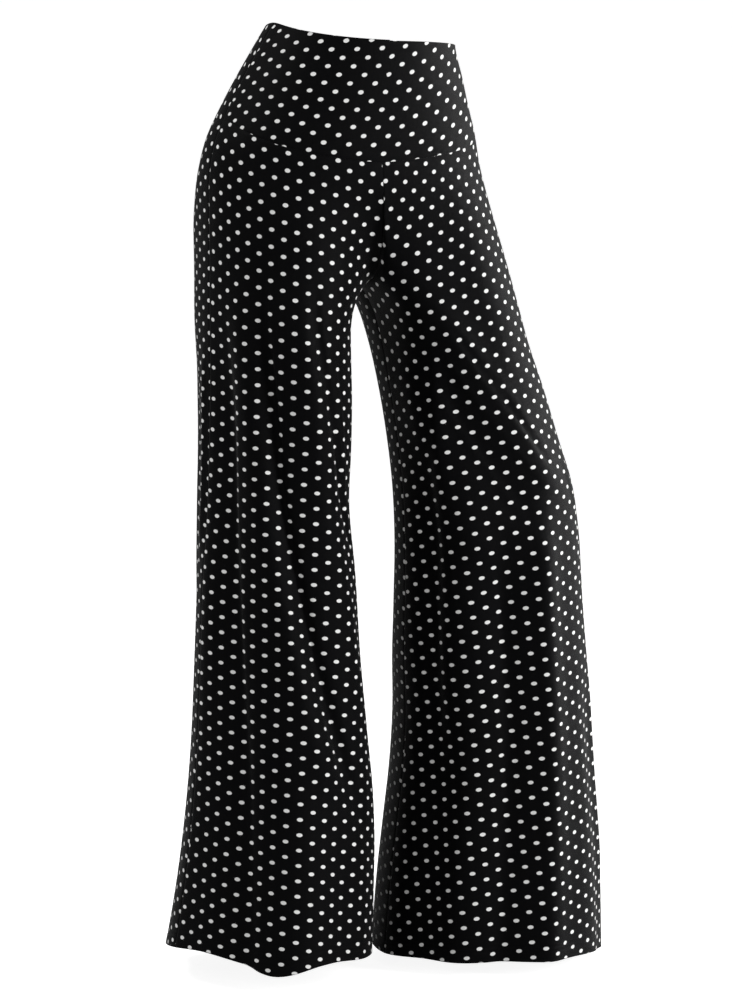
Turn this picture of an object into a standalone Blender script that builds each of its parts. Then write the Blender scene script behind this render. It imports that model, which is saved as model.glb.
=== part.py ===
"""Palazzo pants in stretch jersey: a deep waistband in two pieces over four long leg panels.

The trousers keep the open, hollow form that they have when worn.  The wearer faces -Y, so the right leg
is at -X.  The origin is the middle of the waist opening, and lengths are metres.

A point of the cloth is named by its height and its turn round the leg: 0 degrees at the side seam, +90 in
the middle of the front, 180 at the inseam and -90 in the middle of the back.  Above the crotch the two legs
share one body, and the centre seam takes the inseam's place at 180 degrees.
"""

import bmesh
import bpy
import numpy as np

# Driving sizes
LEG_WALL = 0.0016
BAND_WALL = 0.0026  # the band is the same jersey, doubled
SEAM_GAP = 0.0003
CROTCH_HEIGHT = -0.280
RISE_TOP = -0.150  # below this height the centre seams curve under to the crotch
UNDER_TURN = 2.2  # 2 is a quarter circle, and more turns under later and tighter
BESIDE_SEAM = 2.0  # more keeps that tight turn closer to the centre seams
LEGWISE_TOP = -0.120  # below this height the body's section gives way to the two legs' sections
ARCH_TOP = -0.232  # between these heights the legs' middles follow the arch between the inseams
ARCH_LOW = -0.330

# Height of the band's edge and of the seam under it, at the side seams and at the centre front and back.
# Both tip with the hips, and the seam dips at the centre.
WAIST_EDGE = {
    "right": {"side": 0.014, "front": -0.004, "back": -0.009},
    "left": {"side": -0.016, "front": -0.005, "back": -0.009},
}
BAND_SEAM = {
    "right": {"side": -0.092, "front": -0.138, "back": -0.122},
    "left": {"side": -0.113, "front": -0.138, "back": -0.122},
}
SIDE_TURN = 0.10  # share of a panel's width over which these lines round the side seam

# Body section at each height: the centre line's place across the body, and how square the curve is (2 is
# an ellipse).
BODY_COLUMNS = ("height", "centre", "squareness")
BODY = (
    (0.020, -0.002, 2.00),
    (-0.020, -0.011, 2.05),
    (-0.080, -0.021, 2.15),
    (-0.140, -0.028, 2.25),
    (-0.180, -0.026, 2.35),
    (-0.220, -0.022, 2.45),
    (-0.255, -0.016, 2.50),
    (-0.280, -0.012, 2.50),
)

# Leg section at each height, from the waist to below the hem: the side seam's place across the body, the
# middle of the section from front to back, and how far its front and its back stand from that middle.
LEG_COLUMNS = ("height", "side", "middle", "front", "back")
LEG = {
    "right": (
        (0.020, -0.105, 0.000, 0.083, 0.082),
        (-0.020, -0.131, 0.000, 0.089, 0.087),
        (-0.050, -0.149, 0.000, 0.096, 0.094),
        (-0.080, -0.165, 0.000, 0.102, 0.103),
        (-0.115, -0.181, 0.000, 0.108, 0.113),
        (-0.150, -0.188, 0.000, 0.110, 0.123),
        (-0.200, -0.190, -0.002, 0.108, 0.132),
        (-0.250, -0.191, -0.005, 0.106, 0.132),
        (-0.300, -0.193, -0.008, 0.107, 0.126),
        (-0.400, -0.193, -0.007, 0.107, 0.115),
        (-0.500, -0.194, -0.005, 0.105, 0.109),
        (-0.600, -0.197, -0.004, 0.108, 0.112),
        (-0.700, -0.199, -0.002, 0.113, 0.118),
        (-0.800, -0.202, 0.000, 0.120, 0.125),
        (-0.900, -0.210, 0.002, 0.127, 0.133),
        (-1.000, -0.224, 0.004, 0.134, 0.141),
        (-1.060, -0.236, 0.005, 0.139, 0.146),
    ),
    "left": (
        (0.020, 0.107, 0.000, 0.083, 0.082),
        (-0.020, 0.109, 0.000, 0.089, 0.087),
        (-0.050, 0.116, 0.000, 0.096, 0.094),
        (-0.080, 0.122, 0.000, 0.102, 0.103),
        (-0.115, 0.130, 0.000, 0.108, 0.113),
        (-0.150, 0.135, 0.000, 0.110, 0.123),
        (-0.200, 0.147, -0.002, 0.108, 0.132),
        (-0.250, 0.162, -0.005, 0.106, 0.132),
        (-0.300, 0.175, -0.008, 0.107, 0.126),
        (-0.350, 0.188, -0.013, 0.107, 0.119),
        (-0.400, 0.204, -0.020, 0.106, 0.113),
        (-0.460, 0.221, -0.029, 0.104, 0.109),
        (-0.510, 0.236, -0.035, 0.103, 0.108),
        (-0.560, 0.244, -0.036, 0.104, 0.108),
        (-0.640, 0.251, -0.032, 0.108, 0.112),
        (-0.740, 0.262, -0.026, 0.114, 0.119),
        (-0.840, 0.272, -0.020, 0.120, 0.126),
        (-0.940, 0.282, -0.015, 0.128, 0.134),
        (-1.060, 0.288, -0.009, 0.136, 0.142),
    ),
}

# Below the crotch the inseams part in a narrow arch: each inseam's place across the body.
INSEAM_COLUMNS = ("height", "right", "left")
INSEAM = (
    (-0.280, -0.012, -0.012),
    (-0.284, -0.022, -0.006),
    (-0.292, -0.029, 0.000),
    (-0.308, -0.033, 0.008),
    (-0.345, -0.033, 0.018),
    (-0.400, -0.031, 0.026),
    (-0.460, -0.031, 0.031),
    (-0.520, -0.033, 0.034),
    (-0.600, -0.025, 0.037),
    (-0.700, -0.018, 0.039),
    (-0.780, -0.010, 0.043),
    (-0.840, -0.003, 0.041),
    (-0.900, 0.000, 0.035),
    (-0.960, -0.001, 0.029),
    (-1.060, -0.004, 0.023),
)

# How full the front of each leg is beside its inseam: 2 is round, and more pushes the cloth forward there, as
# the thigh of the forward leg does.
FULLNESS_COLUMNS = ("height", "right", "left")
FULLNESS = (
    (-0.120, 2.0, 4.5),
    (-0.290, 2.0, 4.5),
    (-0.340, 2.0, 3.6),
    (-0.420, 2.0, 2.6),
    (-0.520, 2.0, 2.0),
    (-1.060, 2.0, 2.0),
)

# Height of each leg's hem round its turns.  It hangs nearly level, lowest where a flute stands forward.
HEM_COLUMNS = ("turn", "height")
HEM = {
    "right": (
        (-180, -1.036),
        (-130, -1.041),
        (-80, -1.037),
        (-32, -1.036),
        (0, -1.017),
        (25, -1.015),
        (45, -1.027),
        (62, -1.037),
        (90, -1.028),
        (130, -1.031),
        (180, -1.036),
    ),
    "left": (
        (-180, -1.048),
        (-130, -1.044),
        (-80, -1.049),
        (-30, -1.046),
        (0, -1.050),
        (60, -1.045),
        (120, -1.044),
        (155, -1.045),
        (180, -1.048),
    ),
}
HEM_RISE = 0.160  # the hem's tilt has faded this far above it

# The main folds.  Each runs from its upper end to its lower end, with its crest at the given turns, and
# stands proud by its depth, or sinks where the depth is negative.  Width is the half width in degrees.
FOLD_COLUMNS = ("upper", "lower", "upper_turn", "middle_turn", "lower_turn", "width", "depth")
FOLDS = {
    "right": (
        (-0.20, -0.95, 32, 58, 116, 12, 0.0060),
        (-0.22, -0.95, 46, 74, 136, 11, -0.0070),
        (-0.25, -0.82, 74, 104, 138, 13, 0.0060),
        (-0.24, -1.07, 8, 28, 47, 12, -0.0060),
        (-0.50, -1.07, 8, 2, -4, 12, 0.0045),
        (-0.70, -1.07, 62, 70, 76, 16, 0.0080),
        (-0.78, -1.07, 96, 104, 110, 13, -0.0060),
        (-0.30, -1.07, -28, -34, -38, 14, -0.0060),
        (-0.34, -1.07, -62, -66, -64, 15, 0.0070),
        (-0.40, -1.07, -92, -98, -96, 14, -0.0070),
        (-0.50, -1.07, -128, -126, -124, 15, 0.0070),
        (-0.42, -0.95, -160, -156, -160, 13, -0.0040),
    ),
    "left": (
        (-0.28, -0.54, 134, 94, 56, 14, 0.0060),
        (-0.32, -0.58, 152, 118, 78, 14, -0.0050),
        (-0.36, -0.62, 170, 142, 108, 14, 0.0040),
        (-0.46, -1.07, 78, 84, 88, 12, 0.0075),
        (-0.50, -1.07, 105, 108, 110, 11, -0.0070),
        (-0.42, -1.07, 130, 131, 133, 11, 0.0060),
        (-0.46, -1.07, 154, 153, 154, 12, -0.0050),
        (-0.70, -1.07, 42, 40, 36, 10, -0.0045),
        (-0.32, -0.56, -120, -84, -40, 11, 0.0050),
        (-0.36, -0.60, -132, -98, -56, 11, -0.0050),
        (-0.50, -1.07, -22, -28, -32, 14, -0.0055),
        (-0.54, -1.07, -56, -60, -62, 15, 0.0065),
        (-0.56, -1.07, -92, -94, -92, 14, -0.0070),
        (-0.52, -1.07, -126, -124, -122, 15, 0.0070),
    ),
}
FOLD_FADE = 0.24  # share of a fold's length over which each of its ends dies away
HEM_FOLD_FADE = 0.02

# Mesh density
PANEL_COLUMNS = 22
BAND_ROWS = 4
RISE_ROWS = 10
LEG_ROWS = 21

JERSEY = {"colour": (0.012, 0.012, 0.014, 1.0), "roughness": 0.72}


def unit(vectors):
    return vectors / np.linalg.norm(vectors, axis=-1, keepdims=True)


def smooth(value):
    """A soft step from 0 to 1 as the value goes from 0 to 1."""
    share = np.clip(value, 0.0, 1.0)
    return share * share * (3.0 - 2.0 * share)


def column(table, names, name, at):
    """A table's column as a smooth curve over its first column."""
    rows = np.asarray(sorted(table), float)
    places = rows[:, 0]
    values = rows[:, names.index(name)]
    slopes = np.gradient(values, places)
    where = np.clip(np.asarray(at, float), places[0], places[-1])
    low = np.clip(np.searchsorted(places, where) - 1, 0, len(places) - 2)
    step = places[low + 1] - places[low]
    share = (where - places[low]) / step
    rest = 1.0 - share
    return (
        values[low] * (1.0 + 2.0 * share) * rest**2
        + slopes[low] * step * share * rest**2
        + values[low + 1] * share**2 * (3.0 - 2.0 * share)
        - slopes[low + 1] * step * share**2 * rest
    )


def section(side, height):
    """The sizes of one leg's section at these heights, as a dictionary of columns."""
    sizes = {name: column(LEG[side], LEG_COLUMNS, name, height) for name in LEG_COLUMNS[1:]}
    sizes["centre"] = column(BODY, BODY_COLUMNS, "centre", height)
    sizes["squareness"] = column(BODY, BODY_COLUMNS, "squareness", height)
    below = height < CROTCH_HEIGHT
    inseam = column(INSEAM, INSEAM_COLUMNS, side, height)
    sizes["inner"] = np.where(below, inseam, sizes["centre"])
    parted = smooth((ARCH_TOP - height) / (ARCH_TOP - ARCH_LOW))
    arch_foot = column(INSEAM, INSEAM_COLUMNS, side, np.minimum(height, ARCH_LOW))
    soft_inner = (1.0 - parted) * sizes["centre"] + parted * arch_foot
    sizes["middle_x"] = (sizes["side"] + soft_inner) / 2.0
    return sizes


def under_curve(turn, height):
    """How far the body has curved under towards the legs: 0 at the top of the rise and 1 at the crotch.

    The centre seam stays forward and then turns under, and the cloth beside it eases into that curve.
    """
    fall = np.clip((RISE_TOP - height) / (RISE_TOP - CROTCH_HEIGHT), 0.0, 1.0)
    seam_curve = 1.0 - (1.0 - fall**UNDER_TURN) ** (1.0 / UNDER_TURN)
    beside_seam = smooth((turn - np.pi / 2.0) / (np.pi / 2.0)) ** BESIDE_SEAM
    return beside_seam * seam_curve + (1.0 - beside_seam) * smooth(fall)


def smooth_form(side, around, height):
    """Points of the cloth before its folds, and their turns in degrees.

    Around is 0 at the side seam, 1 where the front ends at the centre seam or inseam, and -1 where the back
    ends there.
    """
    sizes = section(side, height)
    reach = np.where(around < 0.0, sizes["back"], sizes["front"])
    across = np.abs(around)
    toward_side = -1.0 if side == "right" else 1.0
    outer_half = np.abs(sizes["side"] - sizes["middle_x"])
    inner_half = np.abs(sizes["inner"] - sizes["middle_x"])
    body_half = np.abs(sizes["side"] - sizes["centre"])
    squareness = sizes["squareness"]

    quarter = across * np.pi / 2.0
    body_x = sizes["centre"] + toward_side * body_half * np.cos(quarter) ** (2.0 / squareness)
    off_middle = toward_side * (body_x - sizes["middle_x"])
    body_turn = np.arccos(np.clip(off_middle / np.where(off_middle > 0.0, outer_half, inner_half), -1.0, 1.0))
    legwise = smooth((LEGWISE_TOP - height) / (LEGWISE_TOP - CROTCH_HEIGHT))
    forward = np.maximum(column(FULLNESS, FULLNESS_COLUMNS, side, height), 2.0)
    fullness = np.where((around > 0.0) & (across > 0.5), forward, 2.0)
    leg_share = np.sign(0.5 - across) * np.abs(np.cos(np.pi * across)) ** (2.0 / fullness)
    turn = (1.0 - legwise) * body_turn + legwise * np.arccos(leg_share)

    x = sizes["middle_x"] + toward_side * np.cos(turn) * np.where(turn < np.pi / 2.0, outer_half, inner_half)
    off_centre = np.clip(np.abs(x - sizes["centre"]) / body_half, 0.0, 1.0)
    body_depth = reach * (1.0 - off_centre**squareness) ** (1.0 / squareness)
    fullness = np.where((around > 0.0) & (turn > np.pi / 2.0), forward, 2.0)
    leg_depth = reach * np.maximum(1.0 - np.abs(np.cos(turn)) ** fullness, 0.0) ** (1.0 / fullness)
    full_depth = np.where(turn < np.pi / 2.0, leg_depth, reach)
    envelope = (1.0 - legwise) * body_depth + legwise * full_depth
    under = under_curve(turn, height)
    depth = (1.0 - under) * envelope + under * leg_depth
    y = sizes["middle"] - np.sign(around) * depth
    return np.stack([x, y, height], -1), np.sign(around) * np.degrees(turn)


def fold_depth(side, turn, height):
    """How far the folds move the cloth out at these turns, in degrees, and heights."""
    total = np.zeros_like(height)
    for row in FOLDS[side]:
        fold = dict(zip(FOLD_COLUMNS, row))
        share = (fold["upper"] - height) / (fold["upper"] - fold["lower"])
        along = np.clip(share, 0.0, 1.0)
        bow = fold["middle_turn"] - (fold["upper_turn"] + fold["lower_turn"]) / 2.0
        crest = fold["upper_turn"] + along * (fold["lower_turn"] - fold["upper_turn"])
        crest = crest + 4.0 * bow * along * (1.0 - along)
        apart = (turn - crest + 180.0) % 360.0 - 180.0
        end_fade = HEM_FOLD_FADE if fold["lower"] < -1.05 else FOLD_FADE
        strength = smooth(share / FOLD_FADE) * smooth((1.0 - share) / end_fade)
        total = total + fold["depth"] * strength * np.exp(-((apart / fold["width"]) ** 2))
    return total


def past_the_inseam(around, height):
    """Carries a place past the inseam over to the other panel.  The body's halves stop at the centre seam."""
    carried = (around + 1.0) % 2.0 - 1.0
    return np.where(height < CROTCH_HEIGHT, carried, np.clip(around, -1.0, 1.0))


def cloth(side, around, height):
    """Points of the outer face of the cloth, folds and all."""
    step = 0.004
    points, turn = smooth_form(side, around, height)
    before, _ = smooth_form(side, past_the_inseam(around - step, height), height)
    after, _ = smooth_form(side, past_the_inseam(around + step, height), height)
    along = unit(after - before)
    toward_side = -1.0 if side == "right" else 1.0
    outward = toward_side * np.stack([-along[..., 1], along[..., 0], np.zeros_like(height)], -1)
    return points + outward * fold_depth(side, turn, height)[..., None]


def band_line(ends, face, across):
    """Height of the band's edge or of its seam, easing from a rounded turn at the side seam to the centre."""
    rounded = (np.hypot(across, SIDE_TURN) - SIDE_TURN) / (np.hypot(1.0, SIDE_TURN) - SIDE_TURN)
    share = (np.sin(rounded * np.pi / 2.0) + rounded) / 2.0
    return ends["side"] + (ends[face] - ends["side"]) * share


def panel_places(face):
    """Places across a panel from its side seam, as shares of its width and as places around the leg."""
    across = np.linspace(0.0, 1.0, PANEL_COLUMNS + 1)
    return across, across if face == "front" else -across


def band_half(side, face):
    """Grid of one half of the waistband, from its top edge down to its seam, and from side seam to centre."""
    across, around = panel_places(face)
    top = band_line(WAIST_EDGE[side], face, across)
    low = band_line(BAND_SEAM[side], face, across)
    share = np.linspace(0.0, 1.0, BAND_ROWS + 1)[:, None]
    height = top + (low - top) * share
    return cloth(side, np.broadcast_to(around, height.shape), height)


def leg_panel(side, face):
    """Grid of one leg panel, from band seam down to hem, and from side seam to centre seam and inseam."""
    across, around = panel_places(face)
    seam = band_line(BAND_SEAM[side], face, across)
    rise = np.linspace(0.0, 1.0, RISE_ROWS + 1)[:, None]
    eased = 0.35 * rise + 0.65 * np.sin(rise * np.pi / 2.0)
    upper = seam + (CROTCH_HEIGHT - seam) * eased

    fall = np.linspace(0.0, 1.0, LEG_ROWS + 1)[1:, None]
    eased = 0.72 * fall + 0.28 * (1.0 - np.cos(fall * np.pi / 2.0))
    hem = column(HEM[side], HEM_COLUMNS, "height", 180.0 * around)
    level = np.mean(HEM[side], axis=0)[1]
    lower = CROTCH_HEIGHT + (level - CROTCH_HEIGHT) * eased + np.zeros_like(across)
    lower = lower + (hem - level) * smooth((level + HEM_RISE - lower) / HEM_RISE)
    height = np.concatenate([upper, lower])
    return cloth(side, np.broadcast_to(around, height.shape), height)


def corner_normals(grid, flip):
    """Vertex normals of a grid of points, as the mean of the faces round each point."""
    first = grid[1:, 1:] - grid[:-1, :-1]
    second = grid[1:, :-1] - grid[:-1, 1:]
    faces = np.cross(first, second) * flip
    total = np.zeros_like(grid)
    for rows in (slice(None, -1), slice(1, None)):
        for columns in (slice(None, -1), slice(1, None)):
            total[rows, columns] += faces
    return total


def share_normals(grids, normals):
    """Gives points that lie together at a seam one normal, so that the pieces meet square to the cloth."""
    places = np.concatenate([grid.reshape(-1, 3) for grid in grids])
    flat = np.concatenate([normal.reshape(-1, 3) for normal in normals])
    _, index = np.unique(np.round(places / 1e-6).astype(np.int64), axis=0, return_inverse=True)
    index = index.reshape(-1)
    totals = np.zeros((index.max() + 1, 3))
    np.add.at(totals, index, flat)
    shared = unit(totals[index])
    ends = np.cumsum([grid.shape[0] * grid.shape[1] for grid in grids])
    return [part.reshape(grid.shape) for part, grid in zip(np.split(shared, ends[:-1]), grids)]


def pull_from_seams(grid, seams):
    """Moves the edges that are sewn back by half the seam gap, along the cloth."""
    moved = grid.copy()
    inward = {
        "top": (grid[0], grid[1], (0, slice(None))),
        "bottom": (grid[-1], grid[-2], (-1, slice(None))),
        "start": (grid[:, 0], grid[:, 1], (slice(None), 0)),
        "end": (grid[:, -1], grid[:, -2], (slice(None), -1)),
    }
    for seam in seams:
        edge, neighbour, place = inward[seam]
        moved[place] += unit(neighbour - edge) * SEAM_GAP / 2.0
    return moved


def wall_mesh(name, outer, normals, wall, flip, lean):
    """A closed wall between a grid of outer points and the same points moved in by the wall's thickness.

    Above the crotch each square of the grid is split down and away from the centre.  Below it the split
    follows the way the folds lean: down towards the centre for 1, and away from it for -1.
    """
    inner = outer - normals * wall
    rows, columns = outer.shape[:2]
    mesh = bpy.data.meshes.new(name)
    shape = bmesh.new()
    layers = []
    for layer in (outer, inner):
        layers.append([[shape.verts.new(point) for point in row] for row in layer.tolist()])
    for depth, layer in enumerate(layers):
        for i in range(rows - 1):
            for j in range(columns - 1):
                corners = [layer[i][j], layer[i][j + 1], layer[i + 1][j + 1], layer[i + 1][j]]
                if lean < 0 or i < RISE_ROWS:
                    corners = corners[1:] + corners[:1]
                for triangle in (corners[:3], [corners[0], corners[2], corners[3]]):
                    shape.faces.new(triangle if (depth == 0) == (flip > 0) else triangle[::-1])
    rim = [(0, j) for j in range(columns)]
    rim += [(i, columns - 1) for i in range(1, rows)]
    rim += [(rows - 1, j) for j in range(columns - 2, -1, -1)]
    rim += [(i, 0) for i in range(rows - 2, 0, -1)]
    for (i, j), (k, m) in zip(rim, rim[1:] + rim[:1]):
        corners = (layers[0][i][j], layers[1][i][j], layers[1][k][m], layers[0][k][m])
        shape.faces.new(corners if flip > 0 else corners[::-1])
    bmesh.ops.triangulate(shape, faces=shape.faces[:], quad_method="SHORT_EDGE")
    shape.to_mesh(mesh)
    shape.free()
    return mesh


def jersey_material(name):
    """Black jersey for one piece."""
    material = bpy.data.materials.new(name)
    material.use_nodes = True
    shader = material.node_tree.nodes["Principled BSDF"]
    shader.inputs["Base Color"].default_value = JERSEY["colour"]
    shader.inputs["Roughness"].default_value = JERSEY["roughness"]
    shader.inputs["Metallic"].default_value = 0.0
    return material


def add_piece(name, outer, normals, wall, flip, lean):
    mesh = wall_mesh(name, outer, normals, wall, flip, lean)
    mesh.shade_smooth()
    mesh.materials.append(jersey_material(name + "_jersey"))
    piece = bpy.data.objects.new(name, mesh)
    bpy.context.scene.collection.objects.link(piece)
    return piece


def cut_pieces():
    """Each piece's name, grid of outer points, wall, sewn edges and the sign that turns its normals out."""
    pieces = []
    for face in ("front", "back"):
        right = band_half("right", face)
        left = band_half("left", face)
        grid = np.concatenate([right, left[:, -2::-1]], axis=1)
        flip = -1.0 if face == "front" else 1.0
        pieces.append((face + "_waistband", grid, BAND_WALL, ("bottom", "start", "end"), flip))
    for face in ("front", "back"):
        for side in ("right", "left"):
            grid = leg_panel(side, face)
            flip = -1.0 if (face == "front") == (side == "right") else 1.0
            name = f"{face}_{side}_leg"
            pieces.append((name, grid, LEG_WALL, ("top", "start", "end"), flip))
    return pieces


def build():
    for old in list(bpy.data.objects):
        bpy.data.objects.remove(old)
    pieces = cut_pieces()
    grids = [grid for _, grid, _, _, _ in pieces]
    normals = [corner_normals(grid, flip) for _, grid, _, _, flip in pieces]
    normals = share_normals(grids, normals)
    for (name, grid, wall, seams, flip), normal in zip(pieces, normals):
        lean = -1 if "left" in name else 1
        add_piece(name, pull_from_seams(grid, seams), normal, wall, flip, lean)


build()
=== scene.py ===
# %% [markdown]
# # Palazzo pants in dotted jersey
# These are pull-on trousers with a deep waistband and very wide legs, cut from a black stretch jersey that
# is printed with small white dots.  They keep the shape that they have when worn, with nobody inside.
# The plain solids of the model come in first as a fixed frame.  Then a finer piece of cloth with the same
# sizes takes the place of each.

from collections import namedtuple
from functools import partial

import bpy
import numpy as np
from mathutils import Matrix, Vector


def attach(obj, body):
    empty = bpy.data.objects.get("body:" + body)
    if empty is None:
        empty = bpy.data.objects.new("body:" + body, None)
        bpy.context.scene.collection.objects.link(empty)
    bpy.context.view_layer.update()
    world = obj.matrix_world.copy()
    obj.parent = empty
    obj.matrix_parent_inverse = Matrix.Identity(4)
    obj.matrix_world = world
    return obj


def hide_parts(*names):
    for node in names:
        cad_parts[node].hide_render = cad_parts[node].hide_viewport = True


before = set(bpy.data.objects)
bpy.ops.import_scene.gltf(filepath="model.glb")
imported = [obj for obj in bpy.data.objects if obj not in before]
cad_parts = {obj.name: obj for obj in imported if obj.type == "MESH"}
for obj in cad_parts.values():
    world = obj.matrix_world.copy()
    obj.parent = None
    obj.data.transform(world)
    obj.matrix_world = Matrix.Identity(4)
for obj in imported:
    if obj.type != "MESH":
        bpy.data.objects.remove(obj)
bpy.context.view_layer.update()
scene = bpy.context.scene
print("solids:", sorted(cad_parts))

# %% [markdown]
# ## Sizes of the body inside the cloth
# The real garment has no stiffness of its own, so its form is that of a standing body with one leg forward.
# One way is to model a body and to drape cloth over it.  Here the form is lofted instead: a few measured
# sections, joined by smooth curves, come out exactly the same on every run.
# Heights are metres from the waist opening, and the wearer's right side is at -x.

# %% Sections of the body and the legs
CROTCH_HEIGHT = -0.28
RISE_TOP = -0.15
UNDER_TURN = 2.2
BESIDE_SEAM = 2.0
LEGWISE_TOP = -0.12
ARCH_TOP = -0.232
ARCH_LOW = -0.33

BODY = (
    ("height", "centre", "squareness"),
    (0.02, -0.002, 2.0), (-0.02, -0.011, 2.05), (-0.08, -0.021, 2.15),
    (-0.14, -0.028, 2.25), (-0.18, -0.026, 2.35), (-0.22, -0.022, 2.45),
    (-0.255, -0.016, 2.5), (-0.28, -0.012, 2.5),
)

HIP = (
    ("height", "right_side", "left_side", "middle", "front", "back"),
    (0.02, -0.105, 0.107, 0.0, 0.083, 0.082), (-0.02, -0.131, 0.109, 0.0, 0.089, 0.087),
    (-0.05, -0.149, 0.116, 0.0, 0.096, 0.094), (-0.08, -0.165, 0.122, 0.0, 0.102, 0.103),
    (-0.115, -0.181, 0.13, 0.0, 0.108, 0.113), (-0.15, -0.188, 0.135, 0.0, 0.11, 0.123),
    (-0.2, -0.19, 0.147, -0.002, 0.108, 0.132), (-0.25, -0.191, 0.162, -0.005, 0.106, 0.132),
    (-0.3, -0.193, 0.175, -0.008, 0.107, 0.126),
)
LEG = {
    "right": [
        ("height", "side", "middle", "front", "back"),
        (-0.4, -0.193, -0.007, 0.107, 0.115), (-0.5, -0.194, -0.005, 0.105, 0.109),
        (-0.6, -0.197, -0.004, 0.108, 0.112), (-0.7, -0.199, -0.002, 0.113, 0.118),
        (-0.8, -0.202, 0.0, 0.12, 0.125), (-0.9, -0.21, 0.002, 0.127, 0.133),
        (-1.0, -0.224, 0.004, 0.134, 0.141), (-1.06, -0.236, 0.005, 0.139, 0.146),
    ],
    "left": [
        ("height", "side", "middle", "front", "back"),
        (-0.35, 0.188, -0.013, 0.107, 0.119), (-0.4, 0.204, -0.02, 0.106, 0.113),
        (-0.46, 0.221, -0.029, 0.104, 0.109), (-0.51, 0.236, -0.035, 0.103, 0.108),
        (-0.56, 0.244, -0.036, 0.104, 0.108), (-0.64, 0.251, -0.032, 0.108, 0.112),
        (-0.74, 0.262, -0.026, 0.114, 0.119), (-0.84, 0.272, -0.02, 0.12, 0.126),
        (-0.94, 0.282, -0.015, 0.128, 0.134), (-1.06, 0.288, -0.009, 0.136, 0.142),
    ],
}
for height, right_side, left_side, *depths in HIP[1:]:
    LEG["right"].append((height, right_side, *depths))
    LEG["left"].append((height, left_side, *depths))

INSEAM = (
    ("height", "right", "left"),
    (-0.28, -0.012, -0.012), (-0.284, -0.022, -0.006), (-0.292, -0.029, 0.0),
    (-0.308, -0.033, 0.008), (-0.345, -0.033, 0.018), (-0.4, -0.031, 0.026),
    (-0.46, -0.031, 0.031), (-0.52, -0.033, 0.034), (-0.6, -0.025, 0.037),
    (-0.7, -0.018, 0.039), (-0.78, -0.01, 0.043), (-0.84, -0.003, 0.041),
    (-0.9, 0.0, 0.035), (-0.96, -0.001, 0.029), (-1.06, -0.004, 0.023),
)

FULLNESS = (
    ("height", "right", "left"),
    (-0.12, 2.0, 4.5), (-0.29, 2.0, 4.5), (-0.34, 2.0, 3.6),
    (-0.42, 2.0, 2.6), (-0.52, 2.0, 2.0), (-1.06, 2.0, 2.0),
)
print("sections of the legs:", len(LEG["right"]) - 1, "and", len(LEG["left"]) - 1)

# %% [markdown]
# ## Edges of the pieces
# The waistband's edge and the seam under it tip with the hips, and the seam dips at the centre front.
# Each hem hangs almost level.  A cutter's shears follow these lines, so they get their own numbers.

# %% Waist edge, band seam and hems
WAIST_EDGE = {
    "right": {"side": 0.014, "front": -0.004, "back": -0.009},
    "left": {"side": -0.016, "front": -0.005, "back": -0.009},
}
BAND_SEAM = {
    "right": {"side": -0.092, "front": -0.138, "back": -0.122},
    "left": {"side": -0.113, "front": -0.138, "back": -0.122},
}
SIDE_TURN = 0.1

HEM = {
    "right": (
        ("turn", "height"),
        (-180, -1.036), (-130, -1.041), (-80, -1.037), (-32, -1.029), (0, -1.021), (25, -1.019),
        (45, -1.027), (62, -1.037), (90, -1.028), (130, -1.031), (180, -1.036),
    ),
    "left": (
        ("turn", "height"),
        (-180, -1.048), (-130, -1.044), (-80, -1.049), (-30, -1.052), (0, -1.055),
        (60, -1.045), (120, -1.044), (155, -1.045), (180, -1.048),
    ),
}
HEM_RISE = 0.16
hem_heights = [height for rows in HEM.values() for _, height in rows[1:]]
print("hems run from", min(hem_heights), "m up to", max(hem_heights), "m")

# %% [markdown]
# ## Folds and creases
# A turn names a place round a leg: 0 degrees is the side seam, +90 the middle of the front, 180 the inseam
# and -90 the middle of the back.  Each bracket is one fold: where it starts and ends, the turns that its crest
# passes, its half width in degrees and how far it stands out, or sinks when the depth is negative.
# Steepness below 1 narrows the side that faces the inseam, so that a fold looks pinched and not round.
# A cloth simulation would give folds too, but not these folds in these places, so they are listed one by one.

# %% Large folds
FOLD_COLUMNS = "upper lower upper_turn middle_turn lower_turn width depth steepness"
Fold = namedtuple("Fold", FOLD_COLUMNS, defaults=(1.0,))
FOLDS = {
    "right": (
        (-0.2, -0.95, 32, 58, 116, 12, 0.006), (-0.22, -0.95, 46, 74, 136, 11, -0.007),
        (-0.25, -0.82, 74, 104, 138, 13, 0.006), (-0.24, -1.07, 8, 28, 47, 12, -0.006),
        (-0.5, -1.07, 8, 2, -4, 12, 0.0045), (-0.7, -1.07, 62, 70, 76, 16, 0.008),
        (-0.78, -1.07, 96, 104, 110, 13, -0.006), (-0.3, -1.07, -28, -34, -38, 14, -0.006),
        (-0.34, -1.07, -62, -66, -64, 15, 0.007), (-0.4, -1.07, -92, -98, -96, 14, -0.007),
        (-0.5, -1.07, -128, -126, -124, 15, 0.007), (-0.42, -0.95, -160, -156, -160, 13, -0.004),
    ),
    "left": (
        (-0.28, -0.54, 134, 94, 56, 14, 0.006), (-0.32, -0.58, 152, 118, 78, 14, -0.005),
        (-0.36, -0.62, 170, 142, 108, 14, 0.004), (-0.46, -1.07, 78, 84, 88, 12, 0.0075),
        (-0.5, -1.07, 105, 108, 110, 11, -0.007), (-0.42, -1.07, 130, 131, 133, 11, 0.006),
        (-0.46, -1.07, 154, 153, 154, 12, -0.005), (-0.7, -1.07, 42, 40, 36, 10, -0.0045),
        (-0.32, -0.56, -120, -84, -40, 11, 0.005), (-0.36, -0.6, -132, -98, -56, 11, -0.005),
        (-0.5, -1.07, -22, -28, -32, 14, -0.0055), (-0.54, -1.07, -56, -60, -62, 15, 0.0065),
        (-0.56, -1.07, -92, -94, -92, 14, -0.007), (-0.52, -1.07, -126, -124, -122, 15, 0.007),
    ),
}
FOLD_FADE = 0.24
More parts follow.
